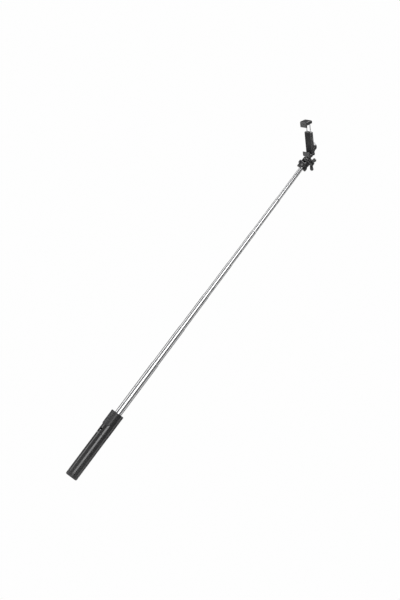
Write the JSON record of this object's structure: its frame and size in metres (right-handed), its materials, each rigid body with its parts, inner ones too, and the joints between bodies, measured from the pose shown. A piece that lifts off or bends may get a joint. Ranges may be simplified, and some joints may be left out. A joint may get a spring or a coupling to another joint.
{
  "type": "selfie stick",
  "caption": "Telescopic selfie stick: folded tripod handle with slide-in remote, steel pole drawn out, tilting head and spring phone clamp turned to landscape.",
  "frame": {"origin": "middle of the handle grip, on the axis of the pole", "axes": "+Z along the pole from the handle to the head; -Y is the side the folded-out front view is seen from; +X to the right in that view, the side of the wing knob"},
  "size_m": [0.0947, 0.0797, 1.0317],
  "materials": {
    "handle_plastic": "satin",
    "head_plastic": "satin",
    "inner_plastic": "matte",
    "remote_plastic": "matte",
    "rubber": "matte",
    "tube_steel": "polished",
    "hardware_steel": "satin",
    "nylon": "matte",
    "brass": "satin",
    "circuit_board": "satin"
  },
  "bodies": {
    "handle": {"hub_body": "handle_plastic", "hub_bush": "inner_plastic", "inner_sleeve": "inner_plastic", "leg_hinge_pin_1": "hardware_steel", "leg_hinge_pin_2": "hardware_steel", "leg_hinge_pin_3": "hardware_steel"},
    "leg_a": {"leg_1": "handle_plastic", "foot_cap_1": "rubber"},
    "leg_b": {"leg_2": "handle_plastic", "foot_cap_2": "rubber"},
    "leg_c": {"leg_3": "handle_plastic", "foot_cap_3": "rubber"},
    "remote": {"remote_casing": "remote_plastic", "remote_back_cover": "inner_plastic", "remote_coin_cell": "hardware_steel", "remote_circuit_board": "circuit_board"},
    "shutter_button": {"remote_button": "remote_plastic"},
    "section_1": {"pole_tube_1": "tube_steel", "pole_stop_ring": "nylon"},
    "section_2": {"pole_tube_2": "tube_steel", "slide_bush_2": "nylon"},
    "section_3": {"pole_tube_3": "tube_steel", "slide_bush_3": "nylon"},
    "section_4": {"pole_tube_4": "tube_steel", "slide_bush_4": "nylon"},
    "section_5": {"pole_tube_5": "tube_steel", "slide_bush_5": "nylon"},
    "section_6": {"pole_tube_6": "tube_steel", "slide_bush_6": "nylon"},
    "section_7": {"pole_tube_7": "tube_steel", "slide_bush_7": "nylon", "head_socket": "head_plastic", "tilt_bolt": "hardware_steel", "tilt_washer_left": "nylon", "tilt_washer_right": "nylon", "knob_washer": "hardware_steel"},
    "wing_knob": {"tilt_wing_knob": "head_plastic", "knob_threaded_insert": "brass"},
    "arm": {"tilt_arm": "head_plastic"},
    "clamp": {"swivel_washer": "nylon", "swivel_screw": "hardware_steel", "swivel_nut": "hardware_steel", "clamp_housing": "head_plastic", "clamp_front_cover": "inner_plastic", "clamp_back_pad": "rubber", "lower_jaw_pad": "rubber", "clamp_spring_left": "hardware_steel", "clamp_spring_right": "hardware_steel", "cover_screw_upper": "hardware_steel", "cover_screw_lower": "hardware_steel"},
    "sliding_jaw": {"upper_jaw": "head_plastic", "upper_jaw_pad": "rubber", "jaw_guide_rod_left": "hardware_steel", "jaw_guide_rod_right": "hardware_steel", "guide_rod_clip_left": "hardware_steel", "guide_rod_clip_right": "hardware_steel"}
  },
  "joints": [
    {"name": "leg_a_spread", "type": "hinge", "parent": "handle", "child": "leg_a", "pos_m": [-0.00987, -0.00936, 0.039], "axis": [-0.6884, 0.7254, 0], "range_deg": [0, 50]},
    {"name": "leg_b_spread", "type": "hinge", "parent": "handle", "child": "leg_b", "pos_m": [0.01304, -0.00386, 0.039], "axis": [-0.284, -0.9588, 0], "range_deg": [0, 50]},
    {"name": "leg_c_spread", "type": "hinge", "parent": "handle", "child": "leg_c", "pos_m": [-0.00317, 0.01322, 0.039], "axis": [0.9724, 0.2334, 0], "range_deg": [0, 50]},
    {"name": "remote_slide", "type": "slide", "parent": "handle", "child": "remote", "axis": [0, 0, 1], "range_m": [0, 0.043]},
    {"name": "shutter_press", "type": "slide", "parent": "remote", "child": "shutter_button", "axis": [0.7254, 0.6884, 0], "range_m": [0, 0.0004], "stiffness_N_per_m": 1500},
    {"name": "section_1_slide", "type": "slide", "parent": "handle", "child": "section_1", "axis": [0, 0, 1], "range_m": [-0.147, 0]},
    {"name": "section_2_slide", "type": "slide", "parent": "section_1", "child": "section_2", "axis": [0, 0, 1], "range_m": [-0.1075, 0]},
    {"name": "section_3_slide", "type": "slide", "parent": "section_2", "child": "section_3", "axis": [0, 0, 1], "range_m": [-0.0935, 0]},
    {"name": "section_4_slide", "type": "slide", "parent": "section_3", "child": "section_4", "axis": [0, 0, 1], "range_m": [-0.0955, 0]},
    {"name": "section_5_slide", "type": "slide", "parent": "section_4", "child": "section_5", "axis": [0, 0, 1], "range_m": [-0.0955, 0]},
    {"name": "section_6_slide", "type": "slide", "parent": "section_5", "child": "section_6", "axis": [0, 0, 1], "range_m": [-0.0955, 0]},
    {"name": "section_7_slide", "type": "slide", "parent": "section_6", "child": "section_7", "axis": [0, 0, 1], "range_m": [-0.0875, 0]},
    {"name": "knob_turn", "type": "hinge", "parent": "section_7", "child": "wing_knob", "pos_m": [0, 0, 0.854], "axis": [0.8965, -0.4431, 0], "range_deg": [0, 360]},
    {"name": "head_tilt", "type": "hinge", "parent": "section_7", "child": "arm", "pos_m": [0, 0, 0.854], "axis": [0.8965, -0.4431, 0], "range_deg": [-127, 53]},
    {"name": "clamp_swivel", "type": "hinge", "parent": "arm", "child": "clamp", "pos_m": [-0.01067, -0.02158, 0.88595], "axis": [-0.3539, -0.716, -0.6018], "range_deg": [-116.7, 63.3]},
    {"name": "jaw_slide", "type": "slide", "parent": "clamp", "child": "sliding_jaw", "axis": [-0.641, -0.2829, 0.7135], "range_m": [-0.016, 0.018], "stiffness_N_per_m": 300, "springref_m": -0.03, "deforming": ["clamp_spring_left", "clamp_spring_right"]}
  ]
}
